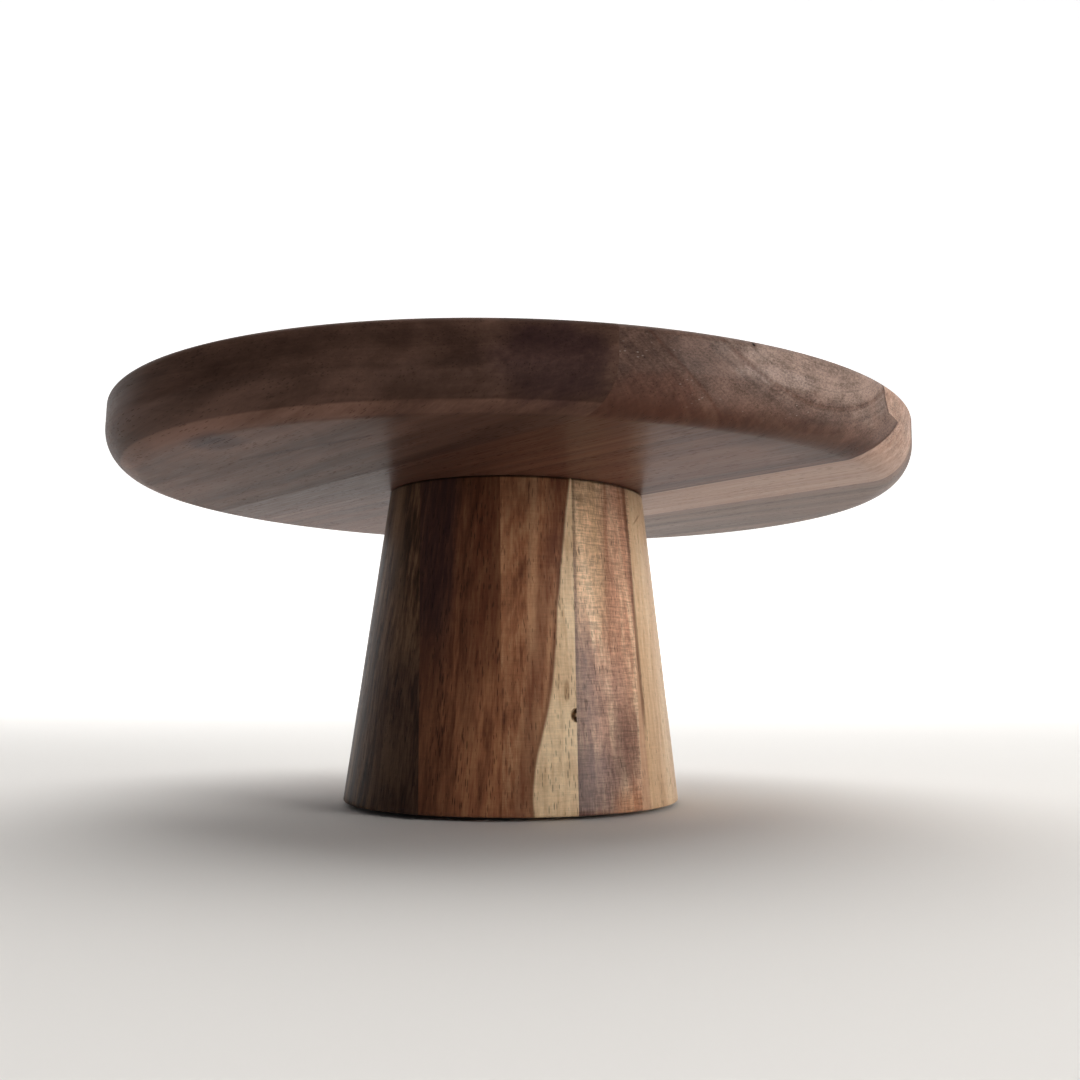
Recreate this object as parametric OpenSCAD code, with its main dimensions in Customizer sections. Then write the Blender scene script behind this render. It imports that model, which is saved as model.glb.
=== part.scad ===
// Wooden cake stand: a round edge-glued plate that screws onto a turned, laminated pedestal.
// The origin is on the surface the stand rests on, under the centre of the pedestal. +Z is up.
// The plate turns anticlockwise, seen from above, to come off the bolt in the pedestal's top.

/* [Plate] */
// Diameter of the plate
plate_d = 300; // [240:1:360]
// Thickness of the plate
plate_t = 24; // [21:1:32]
// Radius of the deep round-over under the rim
plate_under_r = 14; // [8:0.5:15]
// Radius of the eased top edge
plate_top_r = 2.5; // [1:0.5:4]
// Direction in which the boards run, turned about Z from +X
board_turn = 128; // [0:1:179]
// Distance of each of the two glue lines from the centre
board_seam = 70; // [40:1:90]

/* [Pedestal] */
// Height of the pedestal's wood
pedestal_h = 115; // [80:1:160]
// Diameter of the pedestal under the plate
pedestal_top_d = 98; // [70:1:120]
// Diameter of the pedestal at its foot
pedestal_foot_d = 125; // [100:1:160]
// Width of the eased edges at both ends of the pedestal
pedestal_ease = 0.8; // [0.3:0.1:2]
// Direction across the laminated strips, turned about Z from +X
strip_turn = 12; // [0:1:179]
// Width of the three inner strips; the two outer ones take what is left
strip_w = 25.3; // [22:0.1:28]
// Offset of the centre strip's own middle from the axis
strip_shift = -3.4; // [-6:0.1:6]

/* [Bolt and insert] */
// Outer diameter of the hanger bolt's machine thread, M8 as cut
bolt_d = 7.9; // [7.8:0.01:7.98]
// Height that the bolt stands out of the pedestal's top
bolt_reach = 12; // [8:0.5:12]
// Length of the bolt's wood thread inside the pedestal
bolt_anchor = 32; // [20:1:45]
// Outer diameter of the threaded insert's body
insert_d = 12; // [11:0.5:14]
// Length of the threaded insert
insert_h = 13; // [13:0.5:15]
// Diameter of the insert's flange, which lies flush with the underside of the plate
insert_flange_d = 17; // [15.5:0.5:20]
// Thickness of the insert's flange
insert_flange_t = 1.5; // [1:0.1:2]
// Width across the flats of the insert's hexagon socket
socket_w = 10; // [9:0.5:10]
// Depth of the hexagon socket
socket_h = 3.5; // [2:0.5:4]

/* [Pads] */
// Diameter of each anti-slip pad
pad_d = 14; // [8:1:18]
// Thickness of each anti-slip pad
pad_t = 1.5; // [1:0.1:2]
// Distance of each pad's centre from the axis
pad_place = 42; // [30:1:42]

/* [Hidden] */
$fn = 96;

running_gap = 0.05;                       // radial gap wherever one round piece sits in another
pedestal_top_z = pad_t + pedestal_h;      // the plate rests at this height
far = plate_d;                            // larger than any cut needs
outside = 8;                              // in strip widths, beyond the pedestal on either side
insert_bore_d = bolt_d + 2 * running_gap;
socket_across_corners = socket_w / cos(30);
pilot_spare = 2;                          // empty depth beyond the bolt's tip and the insert's end
bolt_tip = 6;                             // length of the wood thread's taper
bolt_tip_d = 2;
bolt_chamfer = 0.8;

// Outline of the plate from the axis to the rim: flat top and bottom, two quarter rounds.
module plate_outline() {
    plate_r = plate_d / 2;
    square([plate_r - plate_under_r, plate_t]);
    translate([0, plate_under_r])
        square([plate_r, plate_t - plate_under_r - plate_top_r]);
    translate([0, plate_under_r])
        square([plate_r - plate_top_r, plate_t - plate_under_r]);
    intersection() {
        translate([plate_r - plate_under_r, plate_under_r]) circle(plate_under_r);
        square([plate_r, plate_under_r]);
    }
    translate([plate_r - plate_top_r, plate_t - plate_top_r]) circle(plate_top_r);
}

// The whole plate, with the stepped hole for the threaded insert in its underside.
module plate_blank() {
    difference() {
        rotate_extrude() plate_outline();
        translate([0, 0, -1])
            cylinder(d = insert_d + 2 * running_gap, h = insert_h + pilot_spare + 1);
        translate([0, 0, -1])
            cylinder(d = insert_flange_d + 2 * running_gap, h = insert_flange_t + running_gap + 1);
    }
}

// The part of the plate between two planes that run along the boards.
module plate_board(from, to) {
    translate([0, 0, pedestal_top_z])
        intersection() {
            plate_blank();
            rotate([0, 0, board_turn])
                translate([-far, from, -1]) cube([2 * far, to - from, plate_t + 2]);
        }
}

// The turned cone with eased ends, and the pilot hole for the hanger bolt.
module pedestal_blank() {
    foot_r = pedestal_foot_d / 2;
    top_r = pedestal_top_d / 2;
    slope = (foot_r - top_r) / pedestal_h;
    difference() {
        rotate_extrude()
            polygon([
                [0, 0],
                [foot_r - pedestal_ease, 0],
                [foot_r - slope * pedestal_ease, pedestal_ease],
                [top_r + slope * pedestal_ease, pedestal_h - pedestal_ease],
                [top_r - pedestal_ease, pedestal_h],
                [0, pedestal_h]
            ]);
        translate([0, 0, pedestal_h - bolt_anchor - pilot_spare])
            cylinder(d = bolt_d + 2 * running_gap, h = bolt_anchor + pilot_spare + 1);
    }
}

// One upright strip of the pedestal, between two parallel glue lines.
// Both are given in strip widths from the middle of the centre strip.
module pedestal_strip(from, to) {
    start = strip_shift + from * strip_w;
    translate([0, 0, pad_t])
        intersection() {
            pedestal_blank();
            rotate([0, 0, strip_turn])
                translate([start, -far, -1])
                    cube([(to - from) * strip_w, 2 * far, pedestal_h + 2]);
        }
}

module plate_left_board() {
    color("#4a342c") plate_board(board_seam, far);
}

module plate_middle_board() {
    color("#6b5044") plate_board(-board_seam, board_seam);
}

module plate_right_board() {
    color("#75604f") plate_board(-far, -board_seam);
}

module pedestal_outer_left_strip() {
    color("#3f3329") pedestal_strip(-outside, -1.5);
}

module pedestal_left_strip() {
    color("#3a2824") pedestal_strip(-1.5, -0.5);
}

module pedestal_centre_strip() {
    color("#6e4a33") pedestal_strip(-0.5, 0.5);
}

module pedestal_right_strip() {
    color("#8a6650") pedestal_strip(0.5, 1.5);
}

module pedestal_outer_right_strip() {
    color("#b08d68") pedestal_strip(1.5, outside);
}

// Hanger bolt: a tapered wood thread below, an M8 machine thread above, both drawn at full diameter.
module hanger_bolt() {
    bolt_r = bolt_d / 2;
    color("#b9bcbf")
        translate([0, 0, pedestal_top_z])
            rotate_extrude()
                polygon([
                    [0, -bolt_anchor],
                    [bolt_tip_d / 2, -bolt_anchor],
                    [bolt_r, -bolt_anchor + bolt_tip],
                    [bolt_r, bolt_reach - bolt_chamfer],
                    [bolt_r - bolt_chamfer, bolt_reach],
                    [0, bolt_reach]
                ]);
}

// Threaded insert: a flanged sleeve with a hexagon socket in its mouth.
module threaded_insert() {
    color("#a9a79f")
        translate([0, 0, pedestal_top_z])
            difference() {
                union() {
                    cylinder(d = insert_d, h = insert_h);
                    cylinder(d = insert_flange_d, h = insert_flange_t);
                }
                translate([0, 0, -1]) cylinder(d = insert_bore_d, h = insert_h + 2);
                translate([0, 0, -1]) cylinder(d = socket_across_corners, h = socket_h + 1, $fn = 6);
            }
}

// One self-adhesive pad under the foot, at an angle about Z.
module pad(angle) {
    color("#2c2b2a")
        rotate([0, 0, angle]) translate([pad_place, 0, 0]) cylinder(d = pad_d, h = pad_t);
}

plate_left_board();
plate_middle_board();
plate_right_board();
pedestal_outer_left_strip();
pedestal_left_strip();
pedestal_centre_strip();
pedestal_right_strip();
pedestal_outer_right_strip();
hanger_bolt();
threaded_insert();
pad(225);  // pad_front_left
pad(315);  // pad_front_right
pad(135);  // pad_back_left
pad(45);  // pad_back_right
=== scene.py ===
"""Looks of the wooden cake stand: turned boards and strips, screw threads, pads, floor, lights and camera."""
import math

import bmesh
import bpy
from mathutils import Matrix, Vector


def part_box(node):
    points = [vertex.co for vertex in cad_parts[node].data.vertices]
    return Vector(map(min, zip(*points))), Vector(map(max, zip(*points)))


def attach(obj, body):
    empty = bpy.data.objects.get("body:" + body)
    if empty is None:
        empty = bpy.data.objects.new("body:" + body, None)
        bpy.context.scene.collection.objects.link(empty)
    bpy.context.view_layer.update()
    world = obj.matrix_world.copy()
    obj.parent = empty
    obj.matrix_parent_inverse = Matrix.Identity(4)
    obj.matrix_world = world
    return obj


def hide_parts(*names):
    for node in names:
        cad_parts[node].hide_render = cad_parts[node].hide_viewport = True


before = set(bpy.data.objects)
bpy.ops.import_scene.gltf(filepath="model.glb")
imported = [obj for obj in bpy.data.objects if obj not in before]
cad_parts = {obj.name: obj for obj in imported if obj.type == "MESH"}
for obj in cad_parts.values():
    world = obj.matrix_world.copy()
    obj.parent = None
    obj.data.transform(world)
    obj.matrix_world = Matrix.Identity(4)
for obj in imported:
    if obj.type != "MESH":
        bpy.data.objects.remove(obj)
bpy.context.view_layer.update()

MM = 0.001
TURN = 2 * math.pi

# The plate: its heights come from the imported part, its edges and glue lines are the part's own sizes.
plate_low, plate_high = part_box("plate_middle_board")
PLATE_R = 150 * MM
PLATE_BOTTOM = plate_low.z
PLATE_TOP = plate_high.z
UNDER_ROUND = 14 * MM
TOP_ROUND = 2.5 * MM
BOARD_SEAM = 70 * MM
BOARD_TURN = math.radians(128)
BOARD_ALONG = Vector((math.cos(BOARD_TURN), math.sin(BOARD_TURN), 0))
BOARD_ACROSS = Vector((-math.sin(BOARD_TURN), math.cos(BOARD_TURN), 0))

# The pedestal.
strip_low, strip_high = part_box("pedestal_centre_strip")
FOOT_Z = strip_low.z
HEAD_Z = strip_high.z
FOOT_R = 62.5 * MM
HEAD_R = 49 * MM
EASE = 0.8 * MM
STRIP_W = 25.3 * MM
STRIP_SHIFT = -3.4 * MM
STRIP_TURN = math.radians(12)
STRIP_ACROSS = Vector((math.cos(STRIP_TURN), math.sin(STRIP_TURN), 0))
UP = Vector((0, 0, 1))

# Bolt, insert and pads.
bolt_low, bolt_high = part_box("hanger_bolt")
BOLT_R = 3.95 * MM
INSERT_R = 6 * MM
FLANGE_R = 8.5 * MM
FLANGE_T = 1.5 * MM
INSERT_H = 13 * MM
SOCKET_W = 10 * MM
SOCKET_H = 3.5 * MM
BORE_R = 4.0 * MM
MACHINE_PITCH = 1.25 * MM
WOOD_PITCH = 3.2 * MM
GAP = 0.05 * MM
HOLE_SPARE = 2 * MM  # empty depth beyond the bolt's tip and the insert's end

# A pin knot in the centre strip of the pedestal, close to the glue line on its right.
KNOT_STRIP = "pedestal_centre_strip"
KNOT = Vector((20.95, -54.81, 34)) * MM
KNOT_RING = 1.35 * MM
KNOT_GAP_W = 0.75 * MM
KNOT_GAP_DEPTH = 1.2 * MM


# ---------------------------------------------------------------- shapes

def arc(centre, radius, start, end, steps):
    """Points (r, z) on a circle, from one angle in degrees to another."""
    angles = [math.radians(start + (end - start) * k / steps) for k in range(steps + 1)]
    return [(centre[0] + radius * math.cos(a), centre[1] + radius * math.sin(a)) for a in angles]


def turned(rings, steps, loop=False):
    """A solid turned about Z. Each ring is (radius, height), and a radius may be a function of the angle."""
    bm = bmesh.new()
    rows = []
    for radius, height in rings:
        if not callable(radius) and radius == 0:
            rows.append([bm.verts.new((0, 0, height))])
            continue
        row = []
        for k in range(steps):
            angle = TURN * k / steps
            r = radius(angle) if callable(radius) else radius
            row.append(bm.verts.new((r * math.cos(angle), r * math.sin(angle), height)))
        rows.append(row)
    pairs = list(zip(rows, rows[1:]))
    if loop:
        pairs.append((rows[-1], rows[0]))
    for first, second in pairs:
        for k in range(steps):
            after = (k + 1) % steps
            corners = [
                first[k % len(first)], first[after % len(first)],
                second[after % len(second)], second[k % len(second)],
            ]
            bm.faces.new(list(dict.fromkeys(corners)))
    bmesh.ops.recalc_face_normals(bm, faces=bm.faces)
    return bm


def keep_between(bm, across, low, high):
    """Cuts away what is outside two parallel planes, and closes the solid again."""
    for offset, side in ((low, -1), (high, 1)):
        if offset is None:
            continue
        everything = bm.verts[:] + bm.edges[:] + bm.faces[:]
        cut = bmesh.ops.bisect_plane(
            bm, geom=everything, dist=1e-7, plane_co=across * offset, plane_no=across * side,
            clear_outer=True,
        )
        edges = [e for e in cut["geom_cut"] if isinstance(e, bmesh.types.BMEdge)]
        bmesh.ops.contextual_create(bm, geom=edges)
    bmesh.ops.recalc_face_normals(bm, faces=bm.faces)


def finished(bm, name, crease=32):
    """A mesh object with smooth faces and sharp edges where the surface turns by more than crease degrees."""
    mesh = bpy.data.meshes.new(name)
    limit = math.radians(crease)
    for face in bm.faces:
        face.smooth = True
    for edge in bm.edges:
        edge.smooth = edge.calc_face_angle(0) < limit
    bm.to_mesh(mesh)
    bm.free()
    piece = bpy.data.objects.new(name, mesh)
    bpy.context.scene.collection.objects.link(piece)
    return piece


def hand_sanded(bm, depth, inner_r):
    """Takes a little off everything outside a radius, unevenly, as sanding by hand does."""
    for vert in bm.verts:
        radius = math.hypot(vert.co.x, vert.co.y)
        if radius < inner_r:
            continue
        angle = math.atan2(vert.co.y, vert.co.x)
        height = vert.co.z / MM
        wave = math.sin(3 * angle + 0.21 * height) + math.sin(7 * angle - 0.13 * height + 1.3)
        wave += 0.6 * math.sin(13 * angle + 0.34 * height + 0.4)
        taken = depth * (0.5 + wave / 5.2)
        vert.co.x *= 1 - taken / radius
        vert.co.y *= 1 - taken / radius


def plate_outline():
    """Half section of the plate from the insert's hole to the middle of the top."""
    hole_r = INSERT_R + GAP
    mouth_r = FLANGE_R + GAP
    step_z = PLATE_BOTTOM + FLANGE_T + GAP
    hole_z = PLATE_BOTTOM + INSERT_H + HOLE_SPARE
    points = [(0, hole_z), (hole_r, hole_z), (hole_r, step_z), (mouth_r, step_z), (mouth_r, PLATE_BOTTOM)]
    flat_r = PLATE_R - UNDER_ROUND
    flat_steps = 12
    points += [(mouth_r + (flat_r - mouth_r) * k / flat_steps, PLATE_BOTTOM) for k in range(1, flat_steps)]
    points += arc((flat_r, PLATE_BOTTOM + UNDER_ROUND), UNDER_ROUND, -90, 0, 20)
    side_low = PLATE_BOTTOM + UNDER_ROUND
    side_high = PLATE_TOP - TOP_ROUND
    side_steps = 5
    points += [(PLATE_R, side_low + (side_high - side_low) * k / side_steps) for k in range(1, side_steps)]
    top_r = PLATE_R - TOP_ROUND
    points += arc((top_r, side_high), TOP_ROUND, 0, 90, 8)
    top_steps = 14
    points += [(top_r * (1 - k / top_steps), PLATE_TOP) for k in range(1, top_steps)]
    return points + [(0, PLATE_TOP)]


def plate_board(name, low, high):
    """One glued board of the plate, between two offsets across the boards."""
    bm = turned(plate_outline(), 360)
    hand_sanded(bm, 0.12 * MM, PLATE_R - UNDER_ROUND)
    keep_between(bm, BOARD_ACROSS, low, high)
    return finished(bm, name)


def cone_radius(z):
    """Radius of the pedestal's side at a height."""
    return FOOT_R + (HEAD_R - FOOT_R) * (z - FOOT_Z) / (HEAD_Z - FOOT_Z)


def pedestal_outline():
    """Half section of the pedestal from the foot's middle to the bolt's pilot hole."""
    hole_r = BOLT_R + GAP
    hole_z = bolt_low.z - HOLE_SPARE
    points = [(0, FOOT_Z), (0.4 * FOOT_R, FOOT_Z), (0.75 * FOOT_R, FOOT_Z)]
    points += arc((cone_radius(FOOT_Z + EASE) - EASE, FOOT_Z + EASE), EASE, -90, 0, 4)
    side_steps = 100
    side_low = FOOT_Z + EASE
    side_high = HEAD_Z - EASE
    heights = [side_low + (side_high - side_low) * k / side_steps for k in range(1, side_steps)]
    points += [(cone_radius(z), z) for z in heights]
    points += arc((cone_radius(side_high) - EASE, side_high), EASE, 0, 90, 4)
    points += [(0.6 * HEAD_R, HEAD_Z), (hole_r, HEAD_Z), (hole_r, hole_z), (0, hole_z)]
    return points


def sink_knot_gap(bm):
    """Sinks a crescent-shaped gap round the left of the pin knot, where the knot has shrunk in its socket."""
    refined = 2.6 * KNOT_RING
    reach = 3 * KNOT_RING
    open_side = 0.25 * KNOT_RING
    taller = 1.12
    near = [f for f in bm.faces if (f.calc_center_median() - KNOT).length < refined]
    edges = list({e for f in near for e in f.edges})
    bmesh.ops.subdivide_edges(bm, edges=edges, cuts=4, use_grid_fill=True)
    inward = Vector((-KNOT.x, -KNOT.y, 0)).normalized()
    for vert in bm.verts:
        offset = vert.co - KNOT
        if offset.length > reach:
            continue
        u = offset.dot(STRIP_ACROSS)
        v = offset.z / taller
        away = abs(math.hypot(u, v) - KNOT_RING) / KNOT_GAP_W
        if away < 1 and u < open_side:
            vert.co += inward * KNOT_GAP_DEPTH * (1 - away * away)


def pedestal_strip(name, low, high, knotted):
    """One laminated strip of the pedestal, between two glue lines counted in strip widths."""
    bm = turned(pedestal_outline(), 360)
    hand_sanded(bm, 0.06 * MM, HEAD_R)
    edges = [None if k is None else STRIP_SHIFT + k * STRIP_W for k in (low, high)]
    keep_between(bm, STRIP_ACROSS, *edges)
    if knotted:
        sink_knot_gap(bm)
    return finished(bm, name)


def ridge(phase, flat):
    """Height of a thread's ridge, 0 to 1, at a phase of 0 to 1 along one pitch."""
    distance = abs((phase % 1) - 0.5) * 2
    return min(1, max(0, (1 - distance) / (1 - flat)))


def threaded(low, high, pitch, root, crest, taper=0, rows=10, flat=0.15):
    """Rings of a screw thread between two heights, rows to each pitch. Its lower end may taper to a point."""
    count = max(2, round((high - low) / pitch * rows))
    point = 0.35

    def ring(z):
        share = min(1, (z - low) / taper) if taper else 1
        shrink = point + (1 - point) * share

        def radius(angle):
            lift = ridge(z / pitch - angle / TURN, flat)
            return (root + (crest - root) * lift) * shrink

        return radius, z

    return [ring(low + (high - low) * k / count) for k in range(count + 1)]


def make_bolt():
    """Hanger bolt: coarse tapered wood thread below, a plain collar, and an M8 machine thread above."""
    collar_low = HEAD_Z - 4 * MM
    collar_high = HEAD_Z + 0.6 * MM
    collar_r = 3.4 * MM
    wood_core_r = 2.7 * MM
    machine_core_r = 3.3 * MM
    machine_low = collar_high + 0.2 * MM
    machine_high = bolt_high.z - 0.5 * MM
    tip_r = machine_core_r - 0.3 * MM
    point = 7 * MM
    rings = [(0, bolt_low.z)]
    rings += threaded(bolt_low.z, collar_low, WOOD_PITCH, wood_core_r, BOLT_R, point, rows=14, flat=0.62)
    rings += [(collar_r, collar_low + 0.4 * MM), (collar_r, collar_high)]
    rings += threaded(machine_low, machine_high, MACHINE_PITCH, machine_core_r, BOLT_R)
    rings += [(tip_r, bolt_high.z), (0, bolt_high.z)]
    return finished(turned(rings, 72), "hanger_bolt_threaded", 50)


def make_insert():
    """Threaded insert: flange and hexagon socket below, coarse outer thread, fine inner thread."""
    low = PLATE_BOTTOM
    high = low + INSERT_H
    body_low = low + FLANGE_T
    socket_top = low + SOCKET_H
    bevel = 0.25 * MM
    mouth = 0.3 * MM
    clear = 0.02 * MM
    outer_pitch = 3 * MM
    outer_core_r = 5 * MM
    inner_groove_r = 4.5 * MM
    half = math.pi / 6

    def socket(angle):
        return SOCKET_W / 2 / math.cos((angle + half) % (2 * half) - half)

    def socket_mouth(angle):
        return socket(angle) + mouth

    outer_low = body_low + 0.3 * MM
    outer_high = high - 0.4 * MM
    outer = threaded(outer_low, outer_high, outer_pitch, outer_core_r, INSERT_R - clear, rows=12, flat=0.6)
    inner_low = socket_top + 0.4 * MM
    inner_high = high - 0.3 * MM
    inner = threaded(inner_low, inner_high, MACHINE_PITCH, BORE_R + clear, inner_groove_r)
    rings = [(FLANGE_R - bevel, low), (FLANGE_R, low + bevel), (FLANGE_R, body_low), (outer_core_r, body_low)]
    rings += outer
    rings += [(outer_core_r - 0.1 * MM, high), (inner_groove_r, high)]
    rings += inner[::-1]
    rings += [(inner_groove_r + 0.1 * MM, socket_top), (socket, socket_top), (socket, low + mouth)]
    rings += [(socket_mouth, low)]
    return finished(turned(rings, 72, loop=True), "threaded_insert_detailed", 50)


def make_pad(node):
    """A soft round pad with an eased rim and shallow grooves between the ribs of its lower face."""
    low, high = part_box(node)
    middle = (low + high) / 2
    radius = (high.x - low.x) / 2
    rim = 0.5 * MM
    top_edge = 0.1 * MM
    grooves = 6
    groove_w = 0.5 * MM
    groove_depth = 0.12 * MM
    grooved_r = 0.8 * radius
    rings = [(0, low.z)]
    for k in range(grooves):
        start = grooved_r * (k + 0.5) / grooves
        rings += [(start, low.z), (start + groove_w / 2, low.z + groove_depth), (start + groove_w, low.z)]
    rings += arc((radius - rim, low.z + rim), rim, -90, 0, 5)
    rings += [(radius, high.z - top_edge), (radius - top_edge, high.z), (0, high.z)]
    pad = finished(turned(rings, 64), node + "_ribbed", 40)
    pad.data.transform(Matrix.Translation((middle.x, middle.y, 0)))
    return pad


# ---------------------------------------------------------------- materials

def tone(code):
    """Linear colour from a screen colour such as "6e4a33"."""
    values = [int(code[k:k + 2], 16) / 255 for k in (0, 2, 4)]
    return tuple(v / 12.92 if v < 0.04045 else ((v + 0.055) / 1.055) ** 2.4 for v in values) + (1,)


class Graph:
    """Short calls that add nodes to one material. All but put, add and shade return an output socket."""

    def __init__(self, name):
        self.material = bpy.data.materials.new(name)
        self.material.use_nodes = True
        self.tree = self.material.node_tree
        self.shader = self.tree.nodes["Principled BSDF"]

    def put(self, socket, value):
        if isinstance(value, bpy.types.NodeSocket):
            self.tree.links.new(value, socket)
        else:
            socket.default_value = value

    def shade(self, values):
        for key, value in values.items():
            self.put(self.shader.inputs[key], value)

    def add(self, kind, inputs=(), **settings):
        node = self.tree.nodes.new(kind)
        for key, value in settings.items():
            setattr(node, key, value)
        for key, value in dict(inputs).items():
            self.put(node.inputs[key], value)
        return node

    def math(self, operation, a, b=0.0):
        return self.add("ShaderNodeMath", {0: a, 1: b}, operation=operation).outputs[0]

    def plus(self, a, b):
        return self.math("ADD", a, b)

    def minus(self, a, b):
        return self.math("SUBTRACT", a, b)

    def times(self, a, b):
        return self.math("MULTIPLY", a, b)

    def vector(self, operation, a, b=(0, 0, 0)):
        node = self.add("ShaderNodeVectorMath", {0: a, 1: b}, operation=operation)
        return node.outputs["Value" if operation in ("DOT_PRODUCT", "LENGTH") else "Vector"]

    def join(self, x, y, z):
        return self.add("ShaderNodeCombineXYZ", {0: x, 1: y, 2: z}).outputs[0]

    def split(self, vector, axis):
        return self.add("ShaderNodeSeparateXYZ", {0: vector}).outputs[axis]

    def millimetres(self, coordinates):
        """Object coordinates, which are in metres, as millimetres."""
        place = self.vector("SCALE", coordinates.outputs["Object"])
        place.node.inputs["Scale"].default_value = 1 / MM
        return place

    def noise(self, vector, scale, detail=2.0, roughness=0.5):
        scaled = self.vector("MULTIPLY", vector, scale)
        inputs = {"Vector": scaled, "Scale": 1.0, "Detail": detail, "Roughness": roughness}
        return self.add("ShaderNodeTexNoise", inputs).outputs["Fac"]

    def noise_line(self, value, detail, roughness):
        inputs = {"W": value, "Scale": 1.0, "Detail": detail, "Roughness": roughness}
        return self.add("ShaderNodeTexNoise", inputs, noise_dimensions="1D").outputs["Fac"]

    def cells(self, vector, scale):
        """Distance to the nearest of many scattered points."""
        inputs = {"Vector": self.vector("MULTIPLY", vector, scale), "Scale": 1.0}
        return self.add("ShaderNodeTexVoronoi", inputs).outputs["Distance"]

    def fit(self, value, low, high, to_low=0.0, to_high=1.0):
        """Runs smoothly from to_low to to_high while the value runs from low to high."""
        inputs = {"Value": value, "From Min": low, "From Max": high, "To Min": to_low, "To Max": to_high}
        return self.add("ShaderNodeMapRange", inputs, interpolation_type="SMOOTHSTEP").outputs["Result"]

    def ramp(self, value, stops):
        node = self.add("ShaderNodeValToRGB", {0: value})
        elements = node.color_ramp.elements
        while len(elements) < len(stops):
            elements.new(1.0)
        for element, (place, colour) in zip(elements, stops):
            element.position = place
            element.color = colour
        return node.outputs["Color"]

    def mix(self, factor, a, b):
        return self.add("ShaderNodeMix", {0: factor, 6: a, 7: b}, data_type="RGBA").outputs[2]

    def scaled(self, colour, change):
        """The colour made brighter or darker by a share of itself."""
        inputs = {0: colour, "Scale": self.plus(change, 1.0)}
        return self.add("ShaderNodeVectorMath", inputs, operation="SCALE").outputs["Vector"]

    def bump(self, height, distance, normal=None):
        inputs = {"Height": height, "Distance": distance, "Strength": 1.0}
        if normal is not None:
            inputs["Normal"] = normal
        return self.add("ShaderNodeBump", inputs).outputs["Normal"]


# What a wood says about itself, with the usual values. A look also has its dark, middle and light tone,
# a seed, the pith's place and the ring's width, and it may have sapwood.
# Lengths are in millimetres of grain space: x across, y through, z along the fibres.
WOOD = {
    "lean": (0, 0),  # of the fibres, across and through
    "sway": 5.0,  # how far the fibres wander
    "weights": (0.25, 0.3, 0.3, 0.15),  # of the rings and of coarse, streaky and fine noise
    "dark_at": 0.36, "light_at": 0.64,  # where the mixed noise gives the dark and the light tone
    "swells": (),  # places where the rings are pushed aside: (centre, reach, push)
    "patches": (),  # soft areas of another colour: (centre, reach, tone, strength)
    "end_patches": (),  # the same on end grain only
    "streaks": (),  # bands along the fibres, see STREAK
    "layers_and_painted_light": (),  # brighter or darker beyond a height, as paler wood, painted shade and painted sheen: (height, 1 above or -1 below, softness, change)
    "sap_patches": (),  # the same as patches, laid over the sapwood
    "lines": (),  # narrow dark growth lines: (ring radius, width, strength)
    "knots": (),  # pin knots: (centre, radius)
    "pore": 0.75, "pore_size": 0.36, "pore_strength": 0.8,
    # glints is the strength of painted glints, pale dots on end grain.
    "end_grey": 0.35, "end_colour": "6b5a50", "end_strength": 1.0, "glints": 0.0,
    "gloss": 0.32, "specular": 0.1, "coat": 0.12,
    "turned": 0.0,  # strength of the painted sheen along the turning marks
}
# A streak also has at, the place of its middle at z = 0, half, half its width, and its tone.
# It fades out round the heights low and high.
STREAK = {"lean": 0.0, "ragged": 2.0, "soft": 0.6, "low": None, "high": None, "fade": 8.0, "strength": 0.8}
PORE_TONE = "1c100b"
KNOT_TONE = "150c08"
GLINT_TONE = "d0bfb4"
WOOD_RELIEF = 0.05 * MM


def patch_mask(g, place, centre, reach, ragged, soft=0.35):
    """1 inside a soft-edged ellipsoid round a point of the grain's own space, in millimetres."""
    offset = g.vector("SUBTRACT", place, centre)
    scaled = g.vector("DIVIDE", offset, reach)
    distance = g.plus(g.vector("LENGTH", scaled), ragged)
    return g.fit(distance, 1 + soft, 1 - soft)


def streak_mask(g, grain, look):
    """1 along a band of the grain that leans with height and fades out at both ends."""
    streak = {**STREAK, **look}
    middle = g.plus(g.times(grain.z, streak["lean"]), streak["at"])
    away = g.math("ABSOLUTE", g.minus(grain.x, middle))
    away = g.plus(away, g.times(grain.ragged, streak["ragged"]))
    mask = g.fit(away, streak["half"] * (1 + streak["soft"]), streak["half"] * (1 - streak["soft"]))
    low, high, fade = streak["low"], streak["high"], streak["fade"]
    if low is not None:
        mask = g.times(mask, g.fit(grain.z, low - fade, low + fade))
    if high is not None:
        mask = g.times(mask, g.fit(grain.z, high + fade, high - fade))
    return g.times(mask, streak["strength"])


def sap_distance(g, grain, sap):
    """How far a point lies beyond the border between heartwood and sapwood, which is a curve in one plane."""
    widest = 100.0
    start, end = sap["curve"][0][0], sap["curve"][-1][0]
    share = g.math("DIVIDE", g.minus(grain.parts[sap["part"]], start), end - start)
    node = g.add("ShaderNodeFloatCurve", {"Value": share})
    points = node.mapping.curves[0].points
    for _ in sap["curve"][2:]:
        points.new(0.5, 0.5)
    for point, (place, offset) in zip(points, sap["curve"]):
        point.location = ((place - start) / (end - start), offset / widest + 0.5)
        point.handle_type = sap.get("corner", "AUTO")
    node.mapping.update()
    edge = g.times(g.minus(node.outputs[0], 0.5), widest)
    beyond = g.times(g.minus(grain.x, edge), sap["side"])
    return g.plus(beyond, g.times(grain.ragged, sap["ragged"]))


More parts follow.
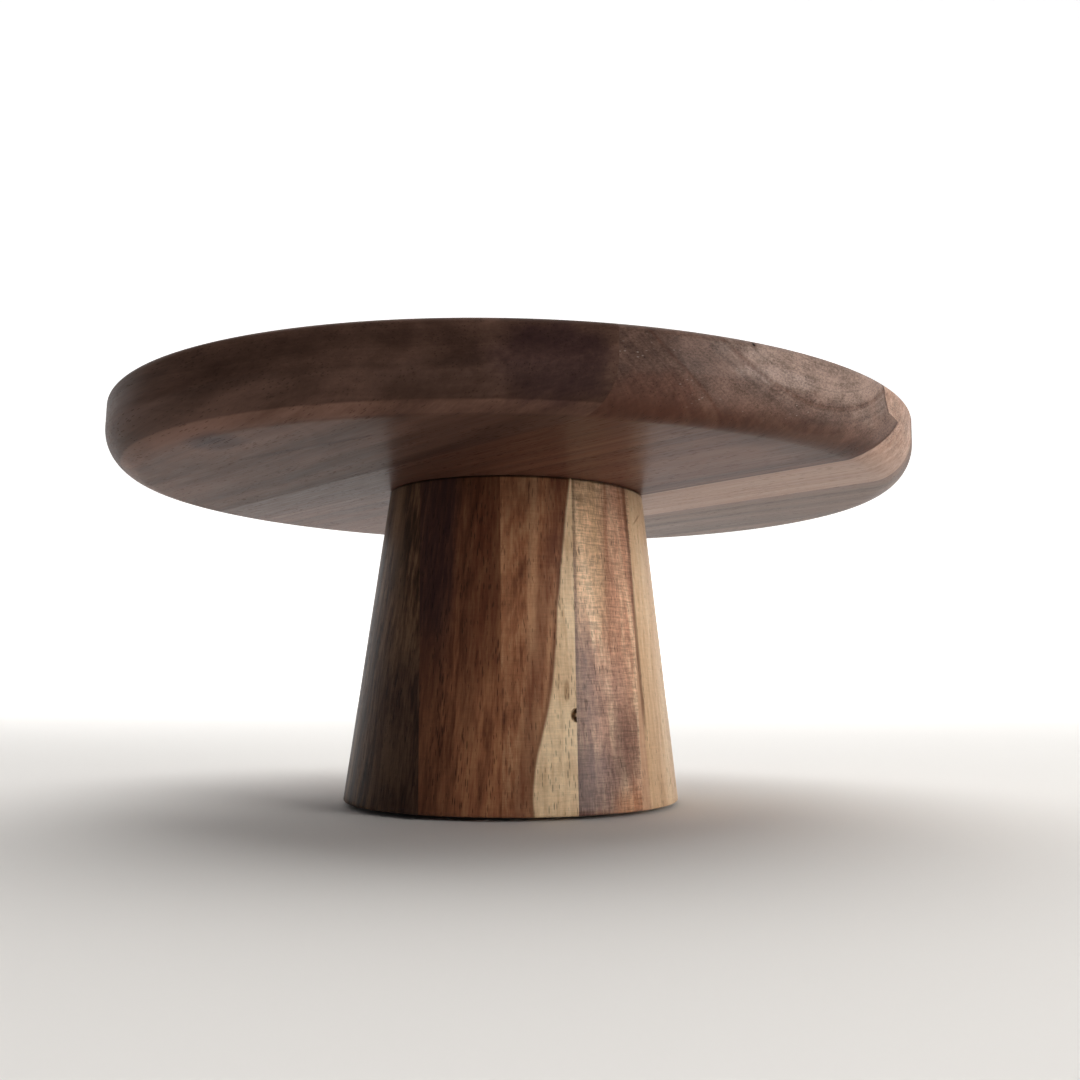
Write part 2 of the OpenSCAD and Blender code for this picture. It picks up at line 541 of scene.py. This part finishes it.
class Grain:
    """What all steps of one wood share: places in grain space, end grain, and noise along the fibres."""

    def __init__(self, g, along, across, look):
        coordinates = g.add("ShaderNodeTexCoord")
        self.place = g.millimetres(coordinates)
        axes = (across, along.cross(across), along)
        self.parts = [g.vector("DOT_PRODUCT", self.place, tuple(axis)) for axis in axes]
        self.x, self.y, self.z = self.parts
        self.raw = g.join(*self.parts)
        self.seeded = g.vector("ADD", self.raw, look["seed"])
        facing = g.math("ABSOLUTE", g.vector("DOT_PRODUCT", coordinates.outputs["Normal"], tuple(along)))
        self.end = g.times(g.fit(facing, 0.45, 0.95), look["end_strength"])
        self.follow_fibres(g, look)
        self.make_rings(g, look)
        self.coarse = g.noise(self.fibre, (0.09, 0.09, 0.0035), 2.0, 0.5)
        self.streaks = g.noise(self.fibre, (0.62, 0.62, 0.012), 3.0, 0.6)
        self.fine = g.noise(self.fibre, (1.7, 1.7, 0.06), 2.0, 0.5)
        self.speckle = g.noise(self.fibre, (1.2, 2.0, 0.3), 5.0, 0.75)
        self.ragged = g.minus(g.noise(self.fibre, (0.16, 0.16, 0.02), 3.0, 0.6), 0.5)

    def follow_fibres(self, g, look):
        """The fibres lean and wander a little, so nothing runs dead straight."""
        wander = ((0.012, 0.012, 0.006), (0.021, 0.013, 0.005))
        self.bent = []
        for part, scale, lean in zip((self.x, self.y), wander, look["lean"]):
            sway = g.times(g.minus(g.noise(self.seeded, scale, 1.0), 0.5), look["sway"])
            self.bent.append(g.plus(g.plus(part, sway), g.times(self.z, lean)))
        self.fibre = g.vector("ADD", g.join(*self.bent, self.z), look["seed"])

    def make_rings(self, g, look):
        """Growth rings are circles round the pith, and swells push them aside."""
        flat = [g.minus(value, centre) for value, centre in zip(self.bent, look["pith"])]
        self.radius = g.vector("LENGTH", g.join(*flat, 0.0))
        for centre, reach, push in look["swells"]:
            swell = patch_mask(g, self.raw, centre, reach, 0.0, soft=0.9)
            self.radius = g.plus(self.radius, g.times(swell, push))
        self.bands = g.noise_line(g.times(self.radius, 1 / look["ring"]), 4.0, 0.62)


def heartwood(g, grain, look):
    """Rings and streaks between three tones. End grain is greyer than the faces."""
    shade = g.times(grain.bands, look["weights"][0])
    for value, weight in zip((grain.coarse, grain.streaks, grain.fine), look["weights"][1:]):
        shade = g.plus(shade, g.times(value, weight))
    shade = g.fit(shade, look["dark_at"], look["light_at"])
    tones = [tone(look[key]) for key in ("dark", "middle", "light")]
    colour = g.ramp(shade, list(zip((0.0, 0.5, 1.0), tones)))
    grey = g.mix(look["end_grey"], colour, tone(look["end_colour"]))
    return g.mix(grain.end, colour, grey)


def tinted(g, grain, look, colour):
    """Soft areas and long streaks of another colour, with the fibres still showing."""
    masks = []
    for spots, share in ((look["patches"], 1.0), (look["end_patches"], grain.end)):
        for centre, reach, code, strength in spots:
            mask = patch_mask(g, grain.raw, centre, reach, grain.ragged)
            masks.append((g.times(mask, g.times(share, strength)), code))
    masks += [(streak_mask(g, grain, streak), streak["tone"]) for streak in look["streaks"]]
    for mask, code in masks:
        colour = g.mix(mask, colour, g.mix(g.times(grain.streaks, 0.5), tone(code), colour))
    return colour


def with_layers_and_painted_light(g, grain, look, colour):
    """Paler or darker above or below a level: painted shade on the strips under the plate, and on the left
    board a paler lower band that is partly painted sheen.
    """
    level = g.vector("DOT_PRODUCT", grain.place, (0, 0, 1))
    for height, side, soft, change in look["layers_and_painted_light"]:
        beyond = g.times(g.minus(level, height), side)
        beyond = g.plus(beyond, g.times(grain.ragged, 1.4 * soft))
        colour = g.scaled(colour, g.fit(beyond, -soft, soft, 0.0, change))
    return colour


def with_sapwood(g, grain, look, colour):
    """Pale wood behind a dark border. Returns the colour, and how much of a place is heartwood."""
    if "sap" not in look:
        return colour, 1.0
    sap = look["sap"]
    beyond = sap_distance(g, grain, sap)
    shade = g.fit(g.plus(g.times(grain.streaks, 0.6), g.times(grain.bands, 0.4)), 0.3, 0.7)
    pale = g.mix(shade, tone(sap["dark"]), tone(sap["light"]))
    border = g.times(g.fit(g.math("ABSOLUTE", beyond), 2.2, 0.2), sap["border"])
    colour = g.mix(g.fit(beyond, -0.7, 0.9), colour, pale)
    colour = g.mix(g.times(border, g.fit(beyond, 0.6, -0.4)), colour, tone(look["dark"]))
    for centre, reach, code, strength in look["sap_patches"]:
        mask = patch_mask(g, grain.raw, centre, reach, g.times(grain.ragged, 0.5))
        colour = g.mix(g.times(mask, strength), colour, tone(code))
    return colour, g.fit(beyond, 1.0, -1.0)


def pore_mask(g, grain, look):
    """Short dashes along the fibres, which are dots on end grain."""
    cell = look["pore"]
    widest = look["pore_size"]
    pores = g.cells(grain.fibre, (1 / cell, 1 / cell, 1 / (cell * 8)))
    thick = g.fit(g.noise(grain.fibre, (0.22, 0.22, 0.03), 2.0), 0.35, 0.7, 0.4 * widest, widest)
    return g.fit(g.math("DIVIDE", pores, thick), 1.0, 0.5)


def growth_lines(g, grain, look, heart, colour):
    """Narrow dark lines at given ring radii, in the heartwood."""
    for at, width, strength in look["lines"]:
        away = g.math("ABSOLUTE", g.minus(grain.radius, at))
        away = g.plus(away, g.times(grain.ragged, width))
        broken = g.fit(grain.streaks, 0.3, 0.6, 0.5 * strength, strength)
        mask = g.times(g.fit(away, width, 0.0), g.times(broken, heart))
        colour = g.mix(mask, colour, tone(look["dark"]))
    return colour


def end_grain(g, grain, look, colour):
    """End grain is mottled, lined by its narrow rings and speckled by the open ends of its vessels. Pale dots
    in clusters on it are painted glints.
    """
    mottle = g.fit(g.noise(grain.fibre, (0.10, 0.13, 0.04), 4.0, 0.65), 0.34, 0.66, -0.22, 0.22)
    thin = g.fit(g.noise_line(g.times(grain.radius, 0.8), 3.0, 0.7), 0.35, 0.65, -0.10, 0.10)
    change = g.plus(g.plus(mottle, thin), g.fit(grain.speckle, 0.36, 0.64, -0.26, 0.26))
    colour = g.scaled(colour, g.times(grain.end, change))
    # Pale dots in clusters on end grain: painted glints.
    clusters = g.fit(g.noise(grain.seeded, (0.07, 0.1, 0.1), 2.0), 0.5, 0.66, 0.0, look["glints"])
    glints = g.fit(g.cells(grain.fibre, (0.5, 1.1, 0.2)), 0.22, 0.06)
    return g.mix(g.times(glints, g.times(grain.end, clusters)), colour, tone(GLINT_TONE))


def pin_knots(g, grain, look, colour):
    """A black eye in a darkened halo."""
    for centre, size in look["knots"]:
        reach = (size, size, size * 1.4)
        halo = patch_mask(g, grain.raw, centre, tuple(2.2 * v for v in reach), grain.ragged, 0.5)
        colour = g.mix(halo, colour, g.mix(0.5, colour, tone(look["dark"])))
        colour = g.mix(patch_mask(g, grain.raw, centre, reach, grain.ragged, 0.3), colour, tone(KNOT_TONE))
    return colour


def wood_surface(g, grain, look, pores):
    """Roughness and relief. Pores are rough and sunk, and end grain is rough and speckled."""
    rough = g.fit(grain.fine, 0.3, 0.7, look["gloss"], look["gloss"] + 0.10)
    rough = g.plus(rough, g.times(pores, 0.2))
    rough = g.plus(rough, g.times(grain.end, 0.12))
    height = g.times(pores, -0.8)
    height = g.plus(height, g.times(grain.streaks, 0.35))
    height = g.plus(height, g.times(grain.fine, 0.15))
    height = g.plus(height, g.times(g.times(grain.speckle, grain.end), 1.2))
    return rough, g.bump(height, WOOD_RELIEF)


def turning_marks(g, grain, strength, colour, normal):
    """Fine rings round the side, left by sanding on the lathe: a fine relief, and lines of painted sheen in
    the colour.
    """
    marks = g.noise(grain.raw, (0.14, 0.14, 1.5), 4.0, 0.75)
    cross = g.noise(grain.fibre, (1.6, 1.6, 0.35), 2.0, 0.6)
    painted_sheen_weave = g.plus(g.times(marks, 0.62), g.times(cross, 0.38))
    colour = g.scaled(colour, g.fit(painted_sheen_weave, 0.34, 0.66, -strength, strength))
    return colour, g.bump(marks, WOOD_RELIEF, normal)


def wood(name, along, across, look):
    """Finished hardwood as a solid texture: rings, streaks, end grain, sapwood, pores and knots."""
    look = {**WOOD, **look}
    g = Graph(name)
    grain = Grain(g, along, across, look)
    pores = pore_mask(g, grain, look)
    colour = heartwood(g, grain, look)
    colour = tinted(g, grain, look, colour)
    colour = with_layers_and_painted_light(g, grain, look, colour)
    colour, heart = with_sapwood(g, grain, look, colour)
    dark_pores = g.mix(0.75, colour, tone(PORE_TONE))
    colour = g.mix(g.times(pores, look["pore_strength"]), colour, dark_pores)
    colour = growth_lines(g, grain, look, heart, colour)
    colour = end_grain(g, grain, look, colour)
    colour = pin_knots(g, grain, look, colour)
    rough, normal = wood_surface(g, grain, look, pores)
    if look["turned"]:
        colour, normal = turning_marks(g, grain, look["turned"], colour, normal)
    g.shade({"Base Color": colour, "Roughness": rough, "Normal": normal})
    g.shade({"Specular IOR Level": look["specular"], "Coat Weight": look["coat"], "Coat Roughness": 0.13})
    return g.material


def metal(name, base, worn, roughness):
    """Plated or cast metal with a soft mottle, fine scratches and duller patches."""
    g = Graph(name)
    place = g.millimetres(g.add("ShaderNodeTexCoord"))
    mottle = g.noise(place, (0.5, 0.5, 0.5), 3.0, 0.6)
    scratches = g.noise(place, (0.4, 0.4, 14.0), 2.0)
    colour = g.mix(g.fit(mottle, 0.35, 0.7), tone(base), tone(worn))
    rough = g.fit(mottle, 0.3, 0.7, roughness, roughness + 0.18)
    normal = g.bump(scratches, 0.01 * MM)
    g.shade({"Base Color": colour, "Roughness": rough, "Normal": normal, "Metallic": 1.0})
    return g.material


def rubber(name):
    """Dark matt rubber with a fine speckle and a little grey bloom."""
    g = Graph(name)
    place = g.millimetres(g.add("ShaderNodeTexCoord"))
    bloom = g.noise(place, (0.35, 0.35, 0.35), 4.0, 0.6)
    speckle = g.noise(place, (5.0, 5.0, 5.0), 2.0)
    colour = g.mix(g.fit(bloom, 0.4, 0.75), tone("1d1c1b"), tone("3a3836"))
    rough = g.fit(speckle, 0.3, 0.7, 0.62, 0.8)
    normal = g.bump(speckle, 0.05 * MM)
    g.shade({"Base Color": colour, "Roughness": rough, "Normal": normal})
    return g.material


def dress(piece, material):
    piece.data.materials.append(material)


# What each board and strip looks like, by the keys of WOOD. A board's span is between two offsets across
# the boards, and a strip's is between two glue lines counted in strip widths.
BOARD_FINISH = {"specular": 0.045, "coat": 0.05, "pore_strength": 0.5}
BOARD_LOOKS = {
    "plate_left_board": {
        "slot": "plate_dark_wood", "span": (BOARD_SEAM, None),
        "dark": "36251f", "middle": "4f3a31", "light": "664d43",
        "seed": (11, 3, 40), "pith": (108, 260), "ring": 9.0, "lean": (0.02, 0.035),
        "weights": (0.35, 0.45, 0.12, 0.08), "dark_at": 0.3, "light_at": 0.7,
        "patches": [((85, 129, -123), (15, 10, 22), "2b1c1f", 0.85),
                    ((131, 117, -18), (7, 9, 13), "3a2c2d", 0.75),
                    ((132, 117, -19), (3, 5, 6), "2a1d1e", 0.5),
                    ((106, 124, -105), (18, 6, 22), "33241e", 0.45)],
        "streaks": [{"at": 112.6, "lean": 0.2, "half": 1.3, "low": -62, "high": 0, "tone": "38241f"}],
        # Below 119.3 mm the board is paler: partly a paler growth layer, partly painted sheen along the lower
        # rim.
        "layers_and_painted_light": [(119.3, -1, 0.3, 0.8), (116.8, -1, 0.15, -0.2), (136.5, 1, 1.5, 0.12)],
        "swells": [((130, 118, -18), (15, 30, 34), -9.0)],
        "end_grey": 0.1, "end_strength": 0.35, "coat": 0.033, "specular": 0.013,
    },
    "plate_middle_board": {
        "slot": "plate_heart_wood", "span": (-BOARD_SEAM, BOARD_SEAM),
        "dark": "472c22", "middle": "674436", "light": "7d5a4a",
        "seed": (47, 21, 5), "pith": (3, 187), "ring": 4.5, "sway": 2.0,
        "weights": (0.45, 0.3, 0.15, 0.1), "dark_at": 0.27, "light_at": 0.73,
        "lines": [(61.5, 1.3, 0.6), (76.5, 0.8, 0.6)],
        "patches": [((0, 112, -150), (70, 9.5, 26), "3f2c25", 0.8),
                    ((58, 122, -128), (13, 6, 30), "5d382c", 0.7)],
        "end_patches": [((-2, 142, -150), (44, 15, 16), "a28d82", 0.8),
                        ((22, 131, -145), (13, 2.5, 30), "b09c93", 0.5)],
        "streaks": [{"at": 68, "half": 19, "tone": "402b23", "strength": 0.75, "soft": 0.9, "ragged": 6.0}],
        # The border zigzags through the board's thickness.
        "sap": {"part": 1, "side": -1, "corner": "VECTOR",
                "dark": "9b7a69", "light": "b69988", "border": 0.7, "ragged": 1.5,
                "curve": [(112, -31), (117, -31), (130, -46.5), (131, -37), (135, -34.5), (142, -33)]},
        "knots": [((13, 138, -147), 0.7), ((31, 139, -146), 0.6), ((-14, 136, -147), 0.6)],
        "end_grey": 0.6, "end_colour": "78675f", "glints": 0.4,
    },
    "plate_right_board": {
        "slot": "plate_grey_wood", "span": (None, -BOARD_SEAM),
        "dark": "4a342c", "middle": "6c5447", "light": "80685a",
        "seed": (83, 60, 17), "pith": (-118, 60), "ring": 6.0, "dark_at": 0.27, "light_at": 0.73,
        "weights": (0.35, 0.45, 0.12, 0.08),
        "streaks": [{"at": -70, "half": 6, "tone": "8a6b5c", "soft": 0.9, "strength": 0.6}],
    },
}

# The strips get painted shade towards the plate, and a painted shadow line at the gap under it.
STRIP_FINISH_AND_PAINTED_SHADE = {
    "turned": 0.12, "specular": 0.14, "coat": 0.04, "gloss": 0.36,
    # The first tint is a painted shadow line along the eased top edge at the gap. The second is painted shade
    # over the top of the strips.
    "layers_and_painted_light": [(115.7, 1, 0.3, -0.75), (107, 1, 9.0, -0.28)],
}
# A dark line, with a band of another colour on each side, slants across the glue line between the two
# right-hand strips.
SLANT = {"lean": -0.062, "ragged": 0.8}
SLANTED_LINE = {**SLANT, "at": 39.1, "half": 0.75, "low": 30, "tone": "5d3220", "strength": 0.85}
STRIP_LOOKS = {
    "pedestal_outer_left_strip": {
        "slot": "strip_olive_wood", "span": (None, -1.5),
        "dark": "34251b", "middle": "593f2f", "light": "7c6049",
        "seed": (5, 71, 33), "pith": (-90, -60), "ring": 4.5, "dark_at": 0.4, "light_at": 0.6,
        "streaks": [{"at": -47, "half": 8, "high": 56, "fade": 16, "tone": "35282a", "strength": 0.52},
                    {"at": -49, "half": 5, "low": 85, "fade": 15, "tone": "2c1c17", "strength": 0.5},
                    {"at": -47.5, "half": 1.6, "low": 60, "fade": 20, "tone": "8a6d54", "strength": 0.3}],
        "turned": 0.07, "specular": 0.06, "coat": 0.02,
    },
    "pedestal_left_strip": {
        "slot": "strip_dark_wood", "span": (-1.5, -0.5),
        "dark": "5b3624", "middle": "925f43", "light": "b07c58",
        "seed": (19, 8, 61), "pith": (-60, 90), "ring": 5.0,
        "streaks": [{"at": -28, "half": 18, "low": 48, "fade": 40, "tone": "3e2117",
                     "strength": 0.85, "soft": 0.3},
                    {"at": -43, "lean": 0.065, "half": 6.5, "low": 48, "fade": 20, "tone": "2b1d21",
                     "strength": 0.97, "ragged": 4.0, "soft": 0.4},
                    {"at": -40, "half": 7, "high": 60, "tone": "5a3626", "strength": 0.6},
                    {"at": -21, "half": 4, "low": 45, "tone": "42190f", "strength": 0.5},
                    {"at": -27, "half": 2.5, "low": 25, "tone": "42261b", "strength": 0.4}],
        "turned": 0.08, "pore": 0.8, "pore_size": 0.44, "specular": 0.1, "coat": 0.03,
    },
    "pedestal_centre_strip": {
        "slot": "strip_warm_wood", "span": (-0.5, 0.5),
        "dark": "5d3826", "middle": "916044", "light": "b48663",
        "seed": (37, 52, 12), "pith": (-10, 110), "ring": 4.0,
        "streaks": [{"at": -10.5, "lean": 0.12, "half": 2.6, "tone": "693f2d", "strength": 0.75},
                    {"at": -8, "lean": 0.03, "half": 1.6, "low": 55, "tone": "c89d78", "strength": 0.5},
                    {"at": -14, "lean": 0.0, "half": 1.4, "low": 40, "tone": "9f6f50", "strength": 0.5},
                    # The last streak is painted shade at the top, under the plate.
                    {"at": -10, "half": 7, "low": 96, "tone": "55301f", "strength": 0.35}],
        # A smudge, then the brown surround and the pale eye of the pin knot.
        "sap_patches": [((5.9, -55, 42), (1.0, 30, 3.4), "8a6238", 0.6),
                        ((9.2, -55, 34), (1.6, 30, 1.8), "452c16", 0.92),
                        ((9.5, -55, 34.1), (0.6, 30, 0.7), "a8896a", 0.85)],
        # A wedge of sapwood widens towards the foot.
        "sap": {"part": 2, "side": 1, "dark": "c9a883", "light": "ecd2ad", "border": 0.6, "ragged": 1.6,
                "curve": [(0, -5.8), (15, -5.6), (42, 0.3), (80, 4), (120, 9)]},
        "pore": 0.8, "pore_size": 0.42, "pore_strength": 0.65,
    },
    "pedestal_right_strip": {
        "slot": "strip_pink_wood", "span": (0.5, 1.5),
        "dark": "94664f", "middle": "c59a7e", "light": "e8c8a6",
        "seed": (64, 33, 90), "pith": (70, 140), "ring": 5.5,
        "streaks": [{"at": 15, "half": 6.5, "low": 66, "fade": 14, "tone": "dfbd92", "strength": 0.7},
                    {"at": 9.7, "half": 0.6, "tone": "5a3f2c", "strength": 0.8, "ragged": 0.9},
                    {"at": 22.8, "half": 0.9, "low": 60, "fade": 20, "tone": "8a5238", "strength": 0.45},
                    {"at": 28, "half": 4.5, "low": 20, "tone": "c08f75", "strength": 0.7},
                    {**SLANT, "at": 42.6, "half": 3.0, "low": 70, "tone": "d8b691",
                     "strength": 0.9, "soft": 0.15},
                    SLANTED_LINE,
                    {"at": 11.5, "half": 4.0, "high": 64, "fade": 14, "tone": "6e5148", "strength": 0.9},
                    # Painted shade and painted brown bounce light at the top, under the plate.
                    {"at": 31, "half": 2.5, "low": 104, "fade": 6, "tone": "8a5535", "strength": 0.5},
                    {"at": 17, "half": 9.5, "high": 22, "fade": 6, "tone": "5a403d", "strength": 0.92},
                    # A greyish-pink band: partly wood colour, partly painted sheen.
                    {"at": 22, "half": 8.0, "low": 8, "high": 52, "fade": 10, "tone": "9c8079",
                     "strength": 0.45},
                    # Purple-grey wood, darkened further by a painted cast shadow.
                    {"at": 29, "half": 6.0, "low": 13, "high": 36, "fade": 7, "tone": "6b4a40",
                     "strength": 0.88},
                    {"at": 30, "half": 6.5, "high": 8, "fade": 4, "tone": "a8714f", "strength": 0.92}],
        "patches": [((11.2, -48, 110), (1.5, 30, 1.8), "5f4330", 0.7)],
        # The strongest painted sheen along the turning marks is on this lit strip.
        "turned": 0.38, "specular": 0.25, "coat": 0.06,
    },
    "pedestal_outer_right_strip": {
        "slot": "strip_pale_wood", "span": (1.5, None),
        "dark": "bf9874", "middle": "d8b691", "light": "ead1ae",
        "seed": (92, 14, 27), "pith": (120, -30), "ring": 9.0, "dark_at": 0.3, "light_at": 0.7,
        "streaks": [{**SLANT, "at": 35.8, "half": 3.0, "high": 84, "tone": "bb8d73",
                     "strength": 0.9, "soft": 0.15},
                    SLANTED_LINE,
                    {"at": -55.8, "lean": 0.9, "half": 0.4, "low": 103, "high": 107, "fade": 1.0,
                     "tone": "8f6546", "ragged": 1.2}],
        "pore_strength": 0.6, "turned": 0.07,
    },
}


def make_plate():
    for node, look in BOARD_LOOKS.items():
        piece = plate_board(node + "_turned", *look["span"])
        dress(piece, wood(look["slot"] + "_grain", BOARD_ALONG, BOARD_ACROSS, {**BOARD_FINISH, **look}))
        place_piece(piece, "plate", node)


def make_pedestal():
    for node, look in STRIP_LOOKS.items():
        piece = pedestal_strip(node + "_turned", *look["span"], node == KNOT_STRIP)
        dress(piece, wood(look["slot"] + "_grain", UP, STRIP_ACROSS, {**STRIP_FINISH_AND_PAINTED_SHADE, **look}))
        place_piece(piece, "pedestal", node)


def place_piece(piece, body, node):
    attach(piece, body)
    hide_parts(node)


def make_hardware():
    bolt = make_bolt()
    dress(bolt, metal("zinc_plated_steel_worn", "a9adb0", "8d9196", 0.28))
    place_piece(bolt, "pedestal", "hanger_bolt")
    insert = make_insert()
    dress(insert, metal("zinc_alloy_cast", "9a978e", "77746c", 0.38))
    place_piece(insert, "plate_insert", "threaded_insert")
    pad_rubber = rubber("pad_rubber_matt")
    for node in ("pad_front_left", "pad_front_right", "pad_back_left", "pad_back_right"):
        pad = make_pad(node)
        dress(pad, pad_rubber)
        place_piece(pad, "pedestal", node)


# ---------------------------------------------------------------- stage, lights, camera

def studio_paper(name, emission):
    """White paper with a faint cloudiness. The function emission gives its glow at a place."""
    g = Graph(name)
    place = g.add("ShaderNodeTexCoord").outputs["Object"]
    cloud = g.noise(place, (1.5, 1.5, 1.5), 2.0)
    colour = g.mix(cloud, tone("e6e5e3"), tone("eceae8"))
    g.shade({"Base Color": colour, "Roughness": 0.85, "Specular IOR Level": 0.1})
    g.shade({"Emission Color": (1, 1, 1, 1), "Emission Strength": emission(g, place)})
    return g.material


def floor_glow(g, place):
    """Bright towards the backdrop and, further out, all round."""
    full = 0.72
    behind = g.fit(g.split(place, "Y"), -0.1, 2.6, 0.0, full)
    around = g.fit(g.vector("LENGTH", place), 0.8, 2.6, 0.0, full)
    return g.math("MAXIMUM", behind, around)


def wall_glow(g, place):
    """Even, with a slow fall towards the top."""
    return g.fit(g.split(place, "Z"), 0.0, 6.0, 0.78, 0.66)


def make_stage():
    """A pale floor that sweeps up into a glowing backdrop, and pale walls round the other sides."""
    near, far, bend, top, half = -8.0, 2.6, 1.8, 5.0, 8.0
    profile = [(near, 0.0), (-1.0, 0.0), (1.0, 0.0)]
    profile += arc((far, bend), bend, -90, 0, 32) + [(far + bend, top)]
    bm = bmesh.new()
    rows = [[bm.verts.new((x, y, z)) for x in (-half, half)] for y, z in profile]
    for first, second in zip(rows, rows[1:]):
        bm.faces.new((first[0], first[1], second[1], second[0]))
    sweep = finished(bm, "studio_sweep", 60)
    dress(sweep, studio_paper("studio_paper", floor_glow))
    # The walls are only a background: they give the object no light and no reflections.
    inner, height = 4.8, 7.0
    rings = arc((inner, bend), bend, -90, 0, 24) + [(inner + bend, height)]
    walls = finished(turned(rings, 96), "studio_walls", 60)
    dress(walls, studio_paper("studio_wall_paper", wall_glow))
    walls.visible_diffuse = False
    walls.visible_glossy = False
    walls.visible_shadow = False


def softbox(name, place, aim, size, power, colour):
    """A rectangular area light that faces a point."""
    light = bpy.data.lights.new(name, "AREA")
    light.shape = "RECTANGLE"
    light.size, light.size_y = size
    light.energy = power
    light.color = colour
    lamp = bpy.data.objects.new(name, light)
    lamp.location = place
    lamp.rotation_euler = (Vector(aim) - Vector(place)).to_track_quat("-Z", "Y").to_euler()
    bpy.context.scene.collection.objects.link(lamp)


def make_lights():
    """A small key light low on the right, a broad one overhead, and a faint cool light from all round."""
    stand, floor_behind = (0, 0, 0.08), (0, 0.8, 0)
    softbox("key_right", (0.95, -0.75, 0.38), stand, size=(0.55, 0.55), power=7.6, colour=(1.0, 0.97, 0.93))
    softbox("overhead", (0.1, 0.9, 2.4), floor_behind, size=(3.4, 2.8), power=66.0, colour=(1.0, 0.98, 0.95))
    world = bpy.data.worlds.new("room")
    world.use_nodes = True
    background = world.node_tree.nodes["Background"]
    background.inputs["Color"].default_value = (0.93, 0.96, 1.0, 1)
    background.inputs["Strength"].default_value = 0.08
    bpy.context.scene.world = world


def make_camera():
    """A phone held low beside the pedestal, looking up under the plate. Angles are in radians."""
    distance, height = 431.2 * MM, 44.1 * MM + FOOT_Z
    yaw, pitch, roll = -0.0656, 0.1530, -0.0060
    sensor, focal_share = 36.0, 1.02543
    camera = bpy.data.cameras.new("phone_lens")
    camera.sensor_width = sensor
    camera.lens = sensor * focal_share
    camera.shift_x = -0.0452
    camera.shift_y = -0.0282
    camera.clip_start = 0.01
    rig = bpy.data.objects.new("camera", camera)
    turn = Matrix.Rotation(yaw, 4, "Z") @ Matrix.Rotation(pitch, 4, "X") @ Matrix.Rotation(roll, 4, "Y")
    level = Matrix.Rotation(math.pi / 2, 4, "X")
    rig.matrix_world = Matrix.Translation((0, -distance, height)) @ turn @ level
    bpy.context.scene.collection.objects.link(rig)
    bpy.context.scene.camera = rig


make_plate()
make_pedestal()
make_hardware()
make_stage()
make_lights()
make_camera()
bpy.context.scene.view_settings.view_transform = "Standard"
